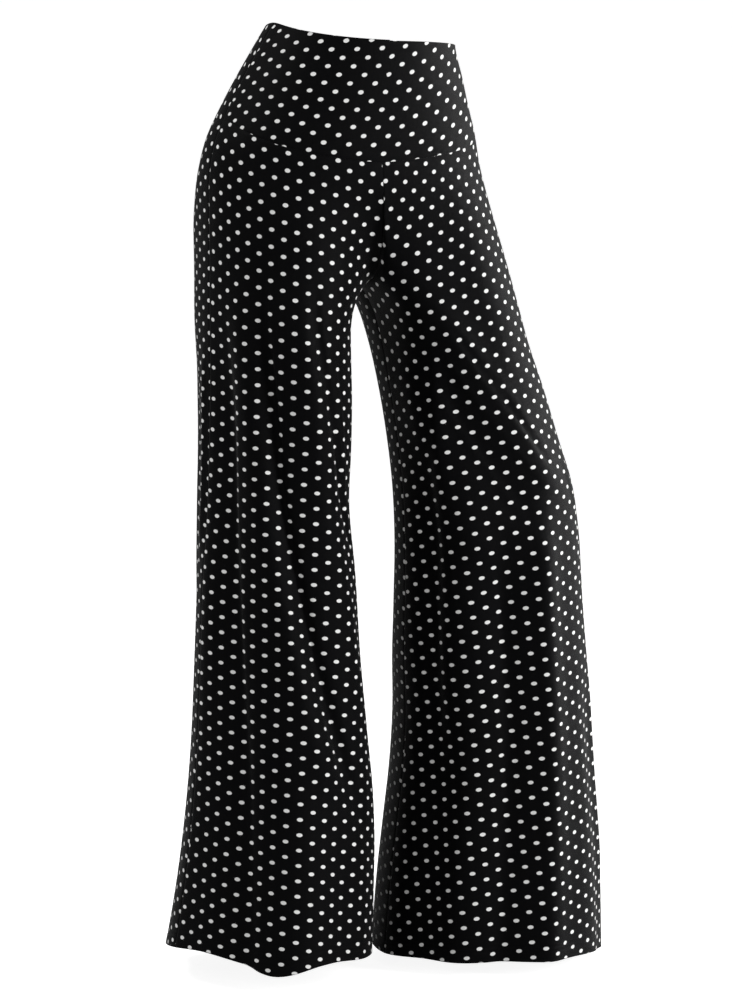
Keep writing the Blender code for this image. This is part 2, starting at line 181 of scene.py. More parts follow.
HEM_FOLD_FADE = 0.02
AT_HEM = -1.05
print("large folds:", {side: len(rows) for side, rows in FOLDS.items()})

# %% Fine creases on top of the folds
CREASES = {
    "right": (
        (-0.215, -0.93, 47, 75, 137, 9, -0.0056, 0.27), (-0.25, -0.6, 86, 108, 146, 7, -0.004, 0.3),
        (-0.27, -1.07, 20, 32, 52, 6, -0.0034, 0.6), (-0.33, -0.6, -9, -7, -7, 3, 0.003, 0.8),
        (-0.34, -0.52, 104, 118, 128, 4, 0.0014, 0.6), (-0.6, -1.07, 56, 58, 60, 6, -0.0012, 0.8),
        (-0.34, -0.66, -44, -50, -52, 5, 0.0016, 0.8), (-0.3, -0.44, -150, -120, -96, 5, 0.0016, 0.8),
        (-0.6, -1.07, -80, -82, -80, 6, 0.0014, 0.8), (-0.66, -1.07, -142, -140, -142, 5, -0.0014, 0.8),
    ),
    "left": (
        (-0.31, -0.5, 128, 92, 60, 4, -0.0035, 0.6), (-0.34, -0.52, 138, 104, 68, 4, 0.0016, 0.6),
        (-0.38, -0.56, 150, 118, 84, 4, 0.0014, 0.6), (-0.47, -0.55, 44, 40, 34, 4, 0.0018, 0.8),
        (-0.5, -0.62, 36, 33, 32, 4, -0.0016, 0.8), (-0.31, -0.86, 144, 143, 145, 9, 0.0054, 0.65),
        (-0.5, -1.07, 82, 85, 88, 9, 0.004, 0.6), (-0.54, -1.07, 109, 110, 112, 7, -0.003, 0.6),
        (-0.7, -1.0, 31, 30, 29, 3, 0.0016, 0.8), (-0.3, -0.46, -140, -112, -80, 5, 0.0016, 0.8),
        (-0.38, -0.56, -110, -76, -44, 4, 0.0018, 0.8), (-0.6, -1.07, -76, -78, -78, 5, -0.0014, 0.8),
        (-0.64, -1.07, -142, -140, -138, 5, 0.0014, 0.8),
    ),
}
print("fine creases:", {side: len(rows) for side, rows in CREASES.items()})

# %% [markdown]
# ## From sizes to points
# A few small functions turn the tables into points of the cloth's outer face.  They take whole arrays at
# once, because a sheet of jersey needs tens of thousands of points.

# %% Smooth curves through a table


def length_of(vectors):
    return np.linalg.norm(vectors, axis=-1)


def unit(vectors):
    return vectors / length_of(vectors)[..., None]


def smooth(value):
    """A soft step from 0 to 1 as the value goes from 0 to 1."""
    share = np.clip(value, 0.0, 1.0)
    return share * share * (3.0 - 2.0 * share)


def column(table, name, at):
    """A table's column, found by its name in the top row, as a smooth curve over its first column."""
    names, *rows = table
    rows = np.asarray(sorted(rows), float)
    places = rows[:, 0]
    values = rows[:, names.index(name)]
    slopes = np.gradient(values, places)
    where = np.clip(np.asarray(at, float), places[0], places[-1])
    low = np.clip(np.searchsorted(places, where) - 1, 0, len(places) - 2)
    step = places[low + 1] - places[low]
    share = (where - places[low]) / step
    rest = 1.0 - share
    return (
        values[low] * (1.0 + 2.0 * share) * rest**2
        + slopes[low] * step * share * rest**2
        + values[low + 1] * share**2 * (3.0 - 2.0 * share)
        - slopes[low + 1] * step * share**2 * rest
    )


print("hip depth at -0.2 m:", round(float(column(LEG["right"], "back", -0.2)), 4))

# %% The smooth form of the worn cloth
TOWARD_SIDE = {"right": -1.0, "left": 1.0}
ELLIPSE = 2.0


def section(side, height):
    """The sizes of one leg's section at these heights."""
    tables = (LEG[side], BODY)
    sizes = {name: column(table, name, height) for table in tables for name in table[0][1:]}
    inseam = column(INSEAM, side, height)
    sizes["inner"] = np.where(height < CROTCH_HEIGHT, inseam, sizes["centre"])
    parted = smooth((ARCH_TOP - height) / (ARCH_TOP - ARCH_LOW))
    arch_foot = column(INSEAM, side, np.minimum(height, ARCH_LOW))
    soft_inner = (1.0 - parted) * sizes["centre"] + parted * arch_foot
    sizes["middle_x"] = (sizes["side"] + soft_inner) / 2.0
    return sizes


def under_curve(turn, height):
    """How far the body has curved under: 0 at the top of the rise and 1 at the crotch."""
    fall = np.clip((RISE_TOP - height) / (RISE_TOP - CROTCH_HEIGHT), 0.0, 1.0)
    seam_curve = 1.0 - (1.0 - fall**UNDER_TURN) ** (1.0 / UNDER_TURN)
    beside_seam = smooth((turn - np.pi / 2.0) / (np.pi / 2.0)) ** BESIDE_SEAM
    return beside_seam * seam_curve + (1.0 - beside_seam) * smooth(fall)


def smooth_form(side, around, height):
    """Points before the folds, and their turns in degrees.

    Around is 0 at the side seam, 1 where the front ends and -1 where the back ends.
    """
    sizes = section(side, height)
    reach = np.where(around < 0.0, sizes["back"], sizes["front"])
    across = np.abs(around)
    toward_side = TOWARD_SIDE[side]
    outer_half = np.abs(sizes["side"] - sizes["middle_x"])
    inner_half = np.abs(sizes["inner"] - sizes["middle_x"])
    body_half = np.abs(sizes["side"] - sizes["centre"])
    squareness = sizes["squareness"]

    quarter = across * np.pi / 2.0
    body_x = sizes["centre"] + toward_side * body_half * np.cos(quarter) ** (2.0 / squareness)
    off_middle = toward_side * (body_x - sizes["middle_x"])
    off_share = off_middle / np.where(off_middle > 0.0, outer_half, inner_half)
    body_turn = np.arccos(np.clip(off_share, -1.0, 1.0))
    legwise = smooth((LEGWISE_TOP - height) / (LEGWISE_TOP - CROTCH_HEIGHT))
    forward = np.maximum(column(FULLNESS, side, height), ELLIPSE)
    fullness = np.where((around > 0.0) & (across > 0.5), forward, ELLIPSE)
    leg_share = np.sign(0.5 - across) * np.abs(np.cos(np.pi * across)) ** (2.0 / fullness)
    turn = (1.0 - legwise) * body_turn + legwise * np.arccos(leg_share)

    half = np.where(turn < np.pi / 2.0, outer_half, inner_half)
    x = sizes["middle_x"] + toward_side * np.cos(turn) * half
    off_centre = np.clip(np.abs(x - sizes["centre"]) / body_half, 0.0, 1.0)
    body_depth = reach * (1.0 - off_centre**squareness) ** (1.0 / squareness)
    fullness = np.where((around > 0.0) & (turn > np.pi / 2.0), forward, ELLIPSE)
    leg_depth = reach * np.maximum(1.0 - np.abs(np.cos(turn)) ** fullness, 0.0) ** (1.0 / fullness)
    full_depth = np.where(turn < np.pi / 2.0, leg_depth, reach)
    envelope = (1.0 - legwise) * body_depth + legwise * full_depth
    under = under_curve(turn, height)
    depth = (1.0 - under) * envelope + under * leg_depth
    y = sizes["middle"] - np.sign(around) * depth
    return np.stack([x, y, height], -1), np.sign(around) * np.degrees(turn)


waist_point, _ = smooth_form("left", np.array([0.0]), np.array([-0.016]))
print("left end of the waist edge:", np.round(waist_point[0], 3))

# %% Folds on the form


def fold_depth(rows, turn, height):
    """How far a table of folds moves the cloth out at these turns, in degrees, and heights."""
    total = np.zeros_like(height)
    for row in rows:
        fold = Fold(*row)
        share = (fold.upper - height) / (fold.upper - fold.lower)
        along = np.clip(share, 0.0, 1.0)
        bow = fold.middle_turn - (fold.upper_turn + fold.lower_turn) / 2.0
        crest = fold.upper_turn + along * (fold.lower_turn - fold.upper_turn)
        crest = crest + 4.0 * bow * along * (1.0 - along)
        apart = (turn - crest + 180.0) % 360.0 - 180.0
        inward = np.where(apart * np.sign(fold.middle_turn + 0.5) > 0.0, fold.steepness, 1.0)
        end_fade = HEM_FOLD_FADE if fold.lower < AT_HEM else FOLD_FADE
        strength = smooth(share / FOLD_FADE) * smooth((1.0 - share) / end_fade)
        total = total + fold.depth * strength * np.exp(-((apart / (fold.width * inward)) ** 2))
    return total


def past_the_inseam(around, height):
    """Carries a place past the inseam to the other panel.  The body's halves stop at the centre seam."""
    carried = (around + 1.0) % 2.0 - 1.0
    return np.where(height < CROTCH_HEIGHT, carried, np.clip(around, -1.0, 1.0))


NEAR = 0.004


def cloth(side, around, height):
    """Points of the outer face of the cloth, folds and all."""
    around = np.broadcast_to(around, height.shape)
    points, turn = smooth_form(side, around, height)
    beside = [past_the_inseam(around + step, height) for step in (-NEAR, NEAR)]
    before, after = (smooth_form(side, place, height)[0] for place in beside)
    along = unit(after - before)
    outward = TOWARD_SIDE[side] * np.stack([-along[..., 1], along[..., 0], np.zeros_like(height)], -1)
    depth = fold_depth(FOLDS[side], turn, height) + fold_depth(CREASES[side], turn, height)
    return points + outward * depth[..., None]


knee = cloth("left", np.array([0.3]), np.array([-0.5]))
print("a point by the left knee:", np.round(knee[0], 3))

# %% [markdown]
# ## Grids of the six pieces
# Every cut piece becomes a grid of points that runs along its own seams, so two neighbours share the
# points between them.  The lines are closer near the edges, where cloth rolls into a seam or turns up.

# %% Spacing of the grid lines
EDGE_STEPS = (0.0, 0.0006, 0.0014, 0.0026, 0.0044)
ARCH_STEPS = (0.0, 0.0022, 0.0045, 0.007, 0.01, 0.014)
HEM_STEPS = (0.0, 0.0008, 0.002, 0.004, 0.007, 0.0098, 0.0109, 0.012, 0.0131)
HEM_STEPS += (0.0145, 0.0161, 0.0172, 0.0183, 0.0199, 0.0202, 0.0225, 0.026, 0.031)
LEG_WIDTH = 0.3
RISE_LENGTH = 0.24
FALL_LENGTH = 0.87
BAND_HEIGHT = 0.125
LEG_COLUMN_COUNT = 96
RISE_ROW_COUNT = 34
FALL_ROW_COUNT = 120
BAND_ROW_COUNT = 30
BRIDGE_SPAN = 0.028
BRIDGE_START = 0.015
BRIDGE_REACH = 0.06
BRIDGE_PLACE = 0.45
BRIDGE_RAMP = 0.3
RISE_EASING = 0.65
FALL_EASING = 0.28


def grid_lines(count, length, near=EDGE_STEPS, far=EDGE_STEPS):
    """Shares from 0 to 1: even steps, with closer ones at distances near from 0 and far from 1."""
    even = np.linspace(0.0, 1.0, count + 1)
    start = np.array(near) / length
    end = 1.0 - np.array(far) / length
    margin = 0.6 / count
    middle = even[(even > start[-1] + margin) & (even < end[-1] - margin)]
    return np.concatenate([start, middle, end[::-1]])


def run_lengths(grid, axis):
    """Distance along the grid lines from their first point."""
    steps = length_of(np.diff(grid, axis=axis))
    start = np.zeros_like(np.take(steps, [0], axis=axis))
    return np.concatenate([start, np.cumsum(steps, axis=axis)], axis=axis)


across_lines = grid_lines(LEG_COLUMN_COUNT, LEG_WIDTH)
print("lines across a leg piece:", len(across_lines))

# %% The pieces' outer faces


def band_line(ends, face, across):
    """Height of the band's edge or of its seam, from a rounded turn at the side seam to the centre."""
    rounded = (np.hypot(across, SIDE_TURN) - SIDE_TURN) / (np.hypot(1.0, SIDE_TURN) - SIDE_TURN)
    share = (np.sin(rounded * np.pi / 2.0) + rounded) / 2.0
    return ends["side"] + (ends[face] - ends["side"]) * share


def band_half(side, face):
    """Outer face of half a waistband, from its seam up to its top edge and from side seam to centre."""
    around = across_lines if face == "front" else -across_lines
    top = band_line(WAIST_EDGE[side], face, across_lines)
    low = band_line(BAND_SEAM[side], face, across_lines)
    share = grid_lines(BAND_ROW_COUNT, BAND_HEIGHT)[:, None]
    height = low + (top - low) * share
    return cloth(side, around, height)


def bridged(grid, around):
    """Draws taut cloth straight across the hollow beside the crotch, and leaves the seams where they are."""
    apart = run_lengths(grid, 0)[:, None] - run_lengths(grid, 0)[None]
    steps = np.gradient(run_lengths(grid, 0), axis=0)
    weights = steps[None] * np.exp(-((apart / BRIDGE_SPAN) ** 2))
    weights /= weights.sum(axis=1, keepdims=True)
    drawn = np.einsum("ijk,jkl->ikl", weights, grid)
    beside = np.clip(run_lengths(grid, 1)[:, -1:] - run_lengths(grid, 1), 0.0, None)
    share = smooth(beside / BRIDGE_START) * smooth((np.abs(around) - BRIDGE_PLACE) / BRIDGE_RAMP)
    share = share * np.exp(-(((grid[..., 2] - CROTCH_HEIGHT) / BRIDGE_REACH) ** 4))
    return grid + share[..., None] * (drawn - grid)


def leg_panel(side, face):
    """Outer face of a leg piece, from band seam to hem and from side seam to centre seam and inseam."""
    around = across_lines if face == "front" else -across_lines
    seam = band_line(BAND_SEAM[side], face, across_lines)
    rise = grid_lines(RISE_ROW_COUNT, RISE_LENGTH, far=(0.0,))[:, None]
    eased = (1.0 - RISE_EASING) * rise + RISE_EASING * np.sin(rise * np.pi / 2.0)
    upper = seam + (CROTCH_HEIGHT - seam) * eased

    fall = grid_lines(FALL_ROW_COUNT, FALL_LENGTH, near=ARCH_STEPS, far=HEM_STEPS)[1:, None]
    eased = (1.0 - FALL_EASING) * fall + FALL_EASING * (1.0 - np.cos(fall * np.pi / 2.0))
    hem = column(HEM[side], "height", 180.0 * around)
    level = np.mean(HEM[side][1:], axis=0)[1]
    lower = CROTCH_HEIGHT + (level - CROTCH_HEIGHT) * eased + np.zeros_like(across_lines)
    lower = lower + (hem - level) * smooth((level + HEM_RISE - lower) / HEM_RISE)
    height = np.concatenate([upper, lower])
    return bridged(cloth(side, around, height), around)


def cut_pieces():
    """Each piece's name, outer face and the sign that turns its normals out.

    Rows run from the sewn end to the free edge, so up a waistband and down a leg.
    """
    pieces = []
    for face in ("front", "back"):
        halves = (band_half("right", face), band_half("left", face)[:, -2::-1])
        flip = 1.0 if face == "front" else -1.0
        pieces.append((face + "_waistband", np.concatenate(halves, axis=1), flip))
    for face in ("front", "back"):
        for side in ("right", "left"):
            flip = -1.0 if (face == "front") == (side == "right") else 1.0
            pieces.append((f"{face}_{side}_leg", leg_panel(side, face), flip))
    return pieces


pieces = cut_pieces()
for name, grid, _ in pieces:
    print(name, "grid of", *grid.shape[:2])

# %% Directions square to the cloth


def corner_normals(grid, flip):
    """Normals of a grid of points, as the mean of the faces round each point."""
    first = grid[1:, 1:] - grid[:-1, :-1]
    second = grid[1:, :-1] - grid[:-1, 1:]
    faces = np.cross(first, second) * flip
    total = np.zeros_like(grid)
    for rows in (slice(None, -1), slice(1, None)):
        for columns in (slice(None, -1), slice(1, None)):
            total[rows, columns] += faces
    return total


def share_normals(grids, normals):
    """Gives points that lie together at a seam one normal, so that the pieces meet square to the cloth."""
    places = np.concatenate([grid.reshape(-1, 3) for grid in grids])
    flat = np.concatenate([normal.reshape(-1, 3) for normal in normals])
    keys = np.round(places / 1e-6).astype(np.int64)
    _, index = np.unique(keys, axis=0, return_inverse=True)
    index = index.reshape(-1)
    totals = np.zeros((index.max() + 1, 3))
    np.add.at(totals, index, flat)
    shared = unit(totals[index])
    ends = np.cumsum([grid[..., 0].size for grid in grids])
    return [part.reshape(grid.shape) for part, grid in zip(np.split(shared, ends[:-1]), grids)]


grids = [grid for _, grid, _ in pieces]
square = [corner_normals(grid, flip) for _, grid, flip in pieces]
square = share_normals(grids, square)
print("points in all:", sum(grid[..., 0].size for grid in grids))

# %% [markdown]
# ## Flat patterns
# The print lies on the flat cloth before it is cut, so its dots have to be laid out on flat patterns too.
# A picture projected from the front would smear at the sides.  Instead each piece is flattened: a coarse
# net of its true lengths is laid on a plane and relaxed until every thread keeps its length, or nearly so.

# %% Lengths along the cloth
NET_STEPS = (0.04, 0.02, 0.01)
RELAX_ROUNDS = (500, 400, 400)


def knots(lengths, step):
    """Indices of grid lines about a step apart, from the mean lengths at the lines."""
    count = max(2, round(float(lengths[-1]) / step))
    wanted = np.linspace(0.0, lengths[-1], count + 1)
    return np.unique(np.abs(lengths[None, :] - wanted[:, None]).argmin(axis=1))


band_run = run_lengths(grids[0], 1)
print("front of the waistband round its seam:", round(float(band_run[-1, -1]), 3), "m")

# %% Relax a net on a plane
RELAX_GAIN = 1.7


def relax(flat, threads, rounds):
    """Moves the knots until the threads have their lengths, as nearly as the net allows."""
    for _ in range(rounds):
        moves = np.zeros_like(flat)
        pulls = np.zeros(flat.shape[:2] + (1,))
        for first, second, length in threads:
            gap = flat[second] - flat[first]
            pull = 0.5 * (1.0 - length / np.maximum(length_of(gap), 1e-9))[..., None] * gap
            moves[first] += pull
            moves[second] -= pull
            pulls[first] += 1.0
            pulls[second] += 1.0
        flat = flat + RELAX_GAIN * moves / pulls
    return flat


def threads_of(net, wide, tall):
    """The net's threads and their true lengths: across, down and along both diagonals."""
    fuller_wide = wide / length_of(np.diff(net, axis=1))
    fuller_tall = tall / length_of(np.diff(net, axis=0))
    fuller = fuller_wide[:-1] / 2.0 + fuller_tall[:, :-1] / 2.0
    fall_one = length_of(net[1:, 1:] - net[:-1, :-1]) * fuller
    fall_two = length_of(net[1:, :-1] - net[:-1, 1:]) * fuller
    every, first, last = slice(None), slice(None, -1), slice(1, None)
    return (
        ((every, first), (every, last), wide),
        ((first, every), (last, every), tall),
        ((first, first), (last, last), fall_one),
        ((first, last), (last, first), fall_two),
    )


def laid_out(net, wide, tall):
    """A first layout of the net, with its middle thread straight and the rows level."""
    grain = net.shape[1] // 2
    x = np.concatenate([np.zeros((len(net), 1)), np.cumsum(wide, axis=1)], axis=1)
    x = x - x[:, grain : grain + 1]
    upward = 1.0 if net[-1, 0, 2] > net[0, 0, 2] else -1.0
    y = upward * np.concatenate([np.zeros((1, net.shape[1])), np.cumsum(tall, axis=0)], axis=0)
    y = y + (net[0, :, 2] - net[0, grain, 2])
    return np.stack([-x if net[0, -1, 0] < net[0, 0, 0] else x, y], -1)


def read_between(flat, rows, columns, along, down):
    """Flat places of all points, from the knots round each and its share of the lengths between them."""
    i, j = np.indices(along.shape)
    r = np.clip(np.searchsorted(rows, i, side="right") - 1, 0, len(rows) - 2)
    c = np.clip(np.searchsorted(columns, j, side="right") - 1, 0, len(columns) - 2)
    across = (along - along[i, columns[c]]) / (along[i, columns[c + 1]] - along[i, columns[c]])
    below = (down - down[rows[r], j]) / (down[rows[r + 1], j] - down[rows[r], j])
    across, below = across[..., None], below[..., None]
    upper = flat[r, c] * (1.0 - across) + flat[r, c + 1] * across
    lower = flat[r + 1, c] * (1.0 - across) + flat[r + 1, c + 1] * across
    return upper * (1.0 - below) + lower * below


def flatten(grid):
    """Flat places of a grid's points, x along the world's x and y up, from a coarse net to a fine one."""
    along = run_lengths(grid, 1)
    down = run_lengths(grid, 0)
    places = None
    for step, rounds in zip(NET_STEPS, RELAX_ROUNDS):
        rows = knots(down.mean(axis=1), step)
        columns = knots(along.mean(axis=0), step)
        net = grid[np.ix_(rows, columns)]
        wide = np.diff(along[np.ix_(rows, columns)], axis=1)
        tall = np.diff(down[np.ix_(rows, columns)], axis=0)
        flat = laid_out(net, wide, tall) if places is None else places[np.ix_(rows, columns)]
        flat = relax(flat, threads_of(net, wide, tall), rounds)
        places = read_between(flat, rows, columns, along, down)
    return places


patterns = [flatten(grid) for grid in grids]
for (name, _, _), flat in zip(pieces, patterns):
    print(name, "pattern", np.round(np.ptp(flat.reshape(-1, 2), axis=0), 3))

# %% [markdown]
# ## Where the print lies
# A heavy skirt of cloth hangs from the band, so the jersey is longest under the waist and relaxed at the
# hems, and the dots stand further apart where it is stretched.  Each piece was also cut from its own part
# of the cloth, which gives its columns of dots a lean and its rows a slope, in degrees, toward the wearer's
# left.  Sewing to the band pulls both askew near its seam, and bows the rows there.

# %% Places on the unstretched cloth
STRETCH = (
    ("height", "stretch"),
    (-1.06, 1.0), (-0.5, 1.0), (-0.35, 1.03),
    (-0.2, 1.08), (-0.12, 1.12), (0.02, 1.13),
)
NARROWING = 0.85
SEAM_PULL = 0.157
PRINT_COLUMNS = "across up squeeze column_lean row_slope lean_at_seam slope_at_seam row_bow"
Lay = namedtuple("Lay", PRINT_COLUMNS, defaults=[0.0] * len(PRINT_COLUMNS.split()))
PRINT = {
    "front_waistband": (0.0124, 0.0057, -0.06, 20.0, 5.0, 20.0, 5.0, 1.10),
    "front_right_leg": (0.0031, 0.0061, 0.04, 4.0, -8.5, 4.0, -8.5, 0.62),
    "front_left_leg": (0.0, -0.0017, 0.13, -3.5, 5.0, 21.0, -1.0, 0.80),
}


def summed(rates, places, first):
    """Adds up a rate along the rows of places, from its first value."""
    steps = np.diff(places, axis=0) * (rates[1:] + rates[:-1]) / 2.0
    return np.concatenate([first, first + np.cumsum(steps, axis=0)])


def print_places(name, grid, flat):
    """Places on the cloth before its weight stretched it, in metres."""
    lay = Lay(*PRINT.get(name, ()))
    stretch = column(STRETCH, "stretch", grid[..., 2])
    up = summed(1.0 / stretch, flat[..., 1], flat[:1, :, 1])
    pull = np.exp(-((np.minimum(up, 0.0) / SEAM_PULL) ** 2))
    across = flat[..., 0] * (1.0 + NARROWING * (stretch - 1.0) + lay.squeeze * pull)
    lean, slope = np.tan(np.radians([lay.column_lean, lay.row_slope]))
    lean_at_seam, slope_at_seam = np.tan(np.radians([lay.lean_at_seam, lay.slope_at_seam]))
    lean = lean + (lean_at_seam - lean) * pull
    slope = slope + (slope_at_seam - slope) * pull
    sway = summed(lean, up, up[:1] * lean[:1])
    rise = slope * across + lay.row_bow * pull * across**2
    return np.stack([across - sway + lay.across, up - rise + lay.up], -1)


prints = [print_places(name, grid, flat) for (name, grid, _), flat in zip(pieces, patterns)]
print("print runs", round(float(np.ptp(prints[2][..., 1])), 3), "m down the front right leg")

# %% [markdown]
# ## From a face to a shell
# Jersey is thin, but its edges show: the waistband is doubled, with a soft fold at the top, and each hem is
# turned up once and stitched with a twin needle.  Seams pull the cloth in a little, which draws a fine line
# along them.  So each piece gets an inner face as well, a rounded free edge and slightly sunken sewn edges.

# %% Thickness, seams and hems
ONE_LAYER = 0.001
BAND_LAYERS = 0.0022
HEM_DOUBLE_ROWS = HEM_STEPS.index(0.0199) + 1
HEM_STITCH_ROWS = (HEM_STEPS.index(0.012), HEM_STEPS.index(0.0172))
STITCH_DENT = 0.0003
ALLOWANCE = 0.008
ALLOWANCE_LAYERS = 0.8
ALLOWANCE_EDGE = 0.003
SEAM_GAP = 0.00005
SEAM_REACH = 0.0034
SEAM_SINK = 0.00045
PUCKER = 0.00035
PUCKER_REACH = 0.012
PUCKER_SPACING = 0.019
EDGE_ANGLES = (60.0, 25.0, -25.0, -60.0)


def ripple(places, spacing):
    """A wave along the cloth that never quite repeats, from -1 to 1."""
    angle = 2.0 * np.pi * places / spacing
    return 0.5 * np.sin(angle) + 0.3 * np.sin(0.618 * angle + 1.3) + 0.2 * np.sin(1.73 * angle + 0.4)


def edge_distances(grid):
    """Distances along the cloth from each point to the piece's two side edges and to its sewn end."""
    along = run_lengths(grid, 1)
    return {"start": along, "end": along[:, -1:] - along, "sewn": run_lengths(grid, 0)}


def pull_from_seams(grid):
    """Moves the three sewn edges back by half the gap between two pieces."""
    moved = grid.copy()
    every = slice(None)
    for edge, beside in (((0, every), (1, every)), ((every, 0), (every, 1)), ((every, -1), (every, -2))):
        moved[edge] += unit(grid[beside] - grid[edge]) * SEAM_GAP / 2.0
    return moved


print("a seam sinks", SEAM_SINK * 1000, "mm within", SEAM_REACH * 1000, "mm of its edge")

# %% Two faces and a rounded edge


def two_faces(name, grid, normal):
    """Rows of points down the outer face, round the free edge and back along the inner face."""
    band = "waistband" in name
    away = edge_distances(grid)
    sink = np.zeros(grid.shape[:2])
    for edge, distance in away.items():
        run = away["start"] if edge == "sewn" else away["sewn"]
        sink += SEAM_SINK * np.clip(1.0 - distance / SEAM_REACH, 0.0, 1.0) ** 2
        beside = np.exp(-distance / PUCKER_REACH) * np.clip(distance / SEAM_REACH, 0.0, 1.0)
        sink += PUCKER * beside * ripple(run, PUCKER_SPACING)
    layers = np.full(grid.shape[:2], BAND_LAYERS if band else ONE_LAYER)
    if not band:
        for row in HEM_STITCH_ROWS:
            sink[-1 - row] += STITCH_DENT
        layers[-HEM_DOUBLE_ROWS:] += ONE_LAYER
        nearest = np.minimum(np.minimum(away["start"], away["end"]), away["sewn"])
        inside = smooth((ALLOWANCE + ALLOWANCE_EDGE / 2.0 - nearest) / ALLOWANCE_EDGE)
        layers += ALLOWANCE_LAYERS * ONE_LAYER * inside
    placed = pull_from_seams(grid)
    outer = placed - normal * sink[..., None]
    inner = placed - normal * layers[..., None]
    outward = unit(outer[-1] - outer[-2])
    radius = layers[-1][:, None] / 2.0
    outer[-1] -= outward * radius
    inner[-1] -= outward * radius
    middle = (outer[-1] + inner[-1]) / 2.0
    angles = np.radians(EDGE_ANGLES)[:, None, None]
    edge = middle + np.sin(angles) * (outer[-1] - middle) + np.cos(angles) * outward * radius
    return np.concatenate([outer, edge, inner[::-1]])


skins = [two_faces(name, grid, normal) for (name, grid, _), normal in zip(pieces, square)]
print("rows of the front waistband, out and back:", len(skins[0]))

# %% [markdown]
# ## Meshes and maps
# A shell is one long strip of rows that goes down the outer face, round the free edge and up the inner
# face.  Its open sides are closed by narrow strips, which the seams hide.
# Two maps go with it.  "Cloth" holds places on the print in metres.  Where the band folds over, and where a
# hem turns up, the print runs on round the edge.  "OFBake" lays all faces side by side in a unit square.

# %% Faces of a shell
MAP_GAP = 0.006
STRIP = 0.002


def quads_of(values):
    """Four corners for each square of a grid."""
    corners = (values[:-1, :-1], values[:-1, 1:], values[1:, 1:], values[1:, :-1])
    return np.stack(corners, 2).reshape((-1, 4) + values.shape[2:])


def shell_faces(rows, columns):
    """Corner indices of the long strip and of the three strips that close it."""
    index = np.arange(rows * columns).reshape(rows, columns)
    outer, inner = index[: rows // 2], index[::-1][: rows // 2]
    strips = ((outer[:, 0], inner[:, 0]), (inner[:, -1], outer[:, -1]), (inner[0], outer[0]))
    return [quads_of(index)] + [quads_of(np.stack(strip)) for strip in strips]


print("a shell of 4 by 3 points has", sum(map(len, shell_faces(4, 3))), "faces")

# %% Maps of a shell


def cloth_map(places, radius, turned_rows):
    """Places on the print at each face's corners.  The last turned rows of the inner face show it too."""
    outward = unit(places[-1] - places[-2])
    arcs = radius * np.radians(90.0 - np.array(EDGE_ANGLES))
    edge = places[-1] + outward * arcs[:, None, None]
    folded = 2.0 * places[-1] - places + outward * np.pi * radius
    printed = np.concatenate([places, edge, folded[::-1]])
    behind = np.concatenate([places, edge, places[::-1]])
    rows, columns = printed.shape[:2]
    last_printed = rows - len(places) + turned_rows - 1
    long = quads_of(printed).reshape(rows - 1, columns - 1, 4, 2)
    long[last_printed:] = quads_of(behind).reshape(rows - 1, columns - 1, 4, 2)[last_printed:]
    flat = printed.reshape(-1, 2)
    strips = [flat[strip] for strip in shell_faces(rows, columns)[1:]]
    showing = np.zeros((rows - 1, columns - 1), int)
    showing[last_printed:] = 1
    return [long.reshape(-1, 4, 2)] + strips, showing.reshape(-1)


def bake_map(flat):
    """Places in a unit square: the two faces and each narrow strip apart from the others."""
    low = flat.min(axis=(0, 1))
    wide, tall = flat.max(axis=(0, 1)) - low
    beside = np.array([wide + MAP_GAP, 0.0]) if tall > wide else np.array([0.0, tall + MAP_GAP])
    right, top = np.array([wide, tall]) + beside + MAP_GAP
    outer = flat - low
    inner = (outer + beside)[::-1]
    across = np.linspace(0.0, wide, flat.shape[1])
    down = np.linspace(0.0, tall, len(flat) + len(EDGE_ANGLES) // 2)
    rows = np.arange(len(EDGE_ANGLES) + 2)[:, None] * STRIP
    edge = np.stack(np.broadcast_arrays(across, top + rows), -1)
    start = np.stack(np.broadcast_arrays(right + rows[:2], down), -1)
    end = start + np.array([2.0 * STRIP + MAP_GAP, 0.0])
    sewn = np.stack(np.broadcast_arrays(across, top + rows[-1] + MAP_GAP + rows[:2]), -1)
    size = max(right + 6.0 * STRIP + MAP_GAP, top + 9.0 * STRIP + MAP_GAP)
    long = np.concatenate([quads_of(outer), quads_of(edge), quads_of(inner)])
    closing = (quads_of(start), quads_of(end[::-1]), quads_of(sewn[::-1]))
    return [part / size for part in (long, *closing)]


sizes = [round(float(part.max()), 3) for part in bake_map(patterns[2])]
print("bake places of the front right leg reach", sizes)

# %% A piece from its skin and its maps
SHARP_ANGLE = 58.0


def add_object(name, data):
    item = bpy.data.objects.new(name, data)
    scene.collection.objects.link(item)
    return item


def sew(name, skin, flip, faces, maps, showing):
    """A mesh object with smooth faces, sharp cut edges and its maps."""
    order = slice(None, None, -1 if flip < 0.0 else 1)
    quads = np.concatenate(faces)[:, order]
    mesh = bpy.data.meshes.new(name)
    mesh.from_pydata(skin.reshape(-1, 3).tolist(), [], quads.tolist())
    for label, places in maps.items():
        layer = mesh.uv_layers.new(name=label)
        corners = np.concatenate(places)[:, order]
        layer.data.foreach_set("uv", corners.astype(np.float32).reshape(-1))
    indices = np.concatenate([showing, np.ones(len(quads) - len(showing), int)]).astype(np.int32)
    mesh.polygons.foreach_set("material_index", indices)
    mesh.shade_smooth()
    mesh.set_sharp_from_angle(angle=np.radians(SHARP_ANGLE))
    mesh.update()
    return add_object(name, mesh)


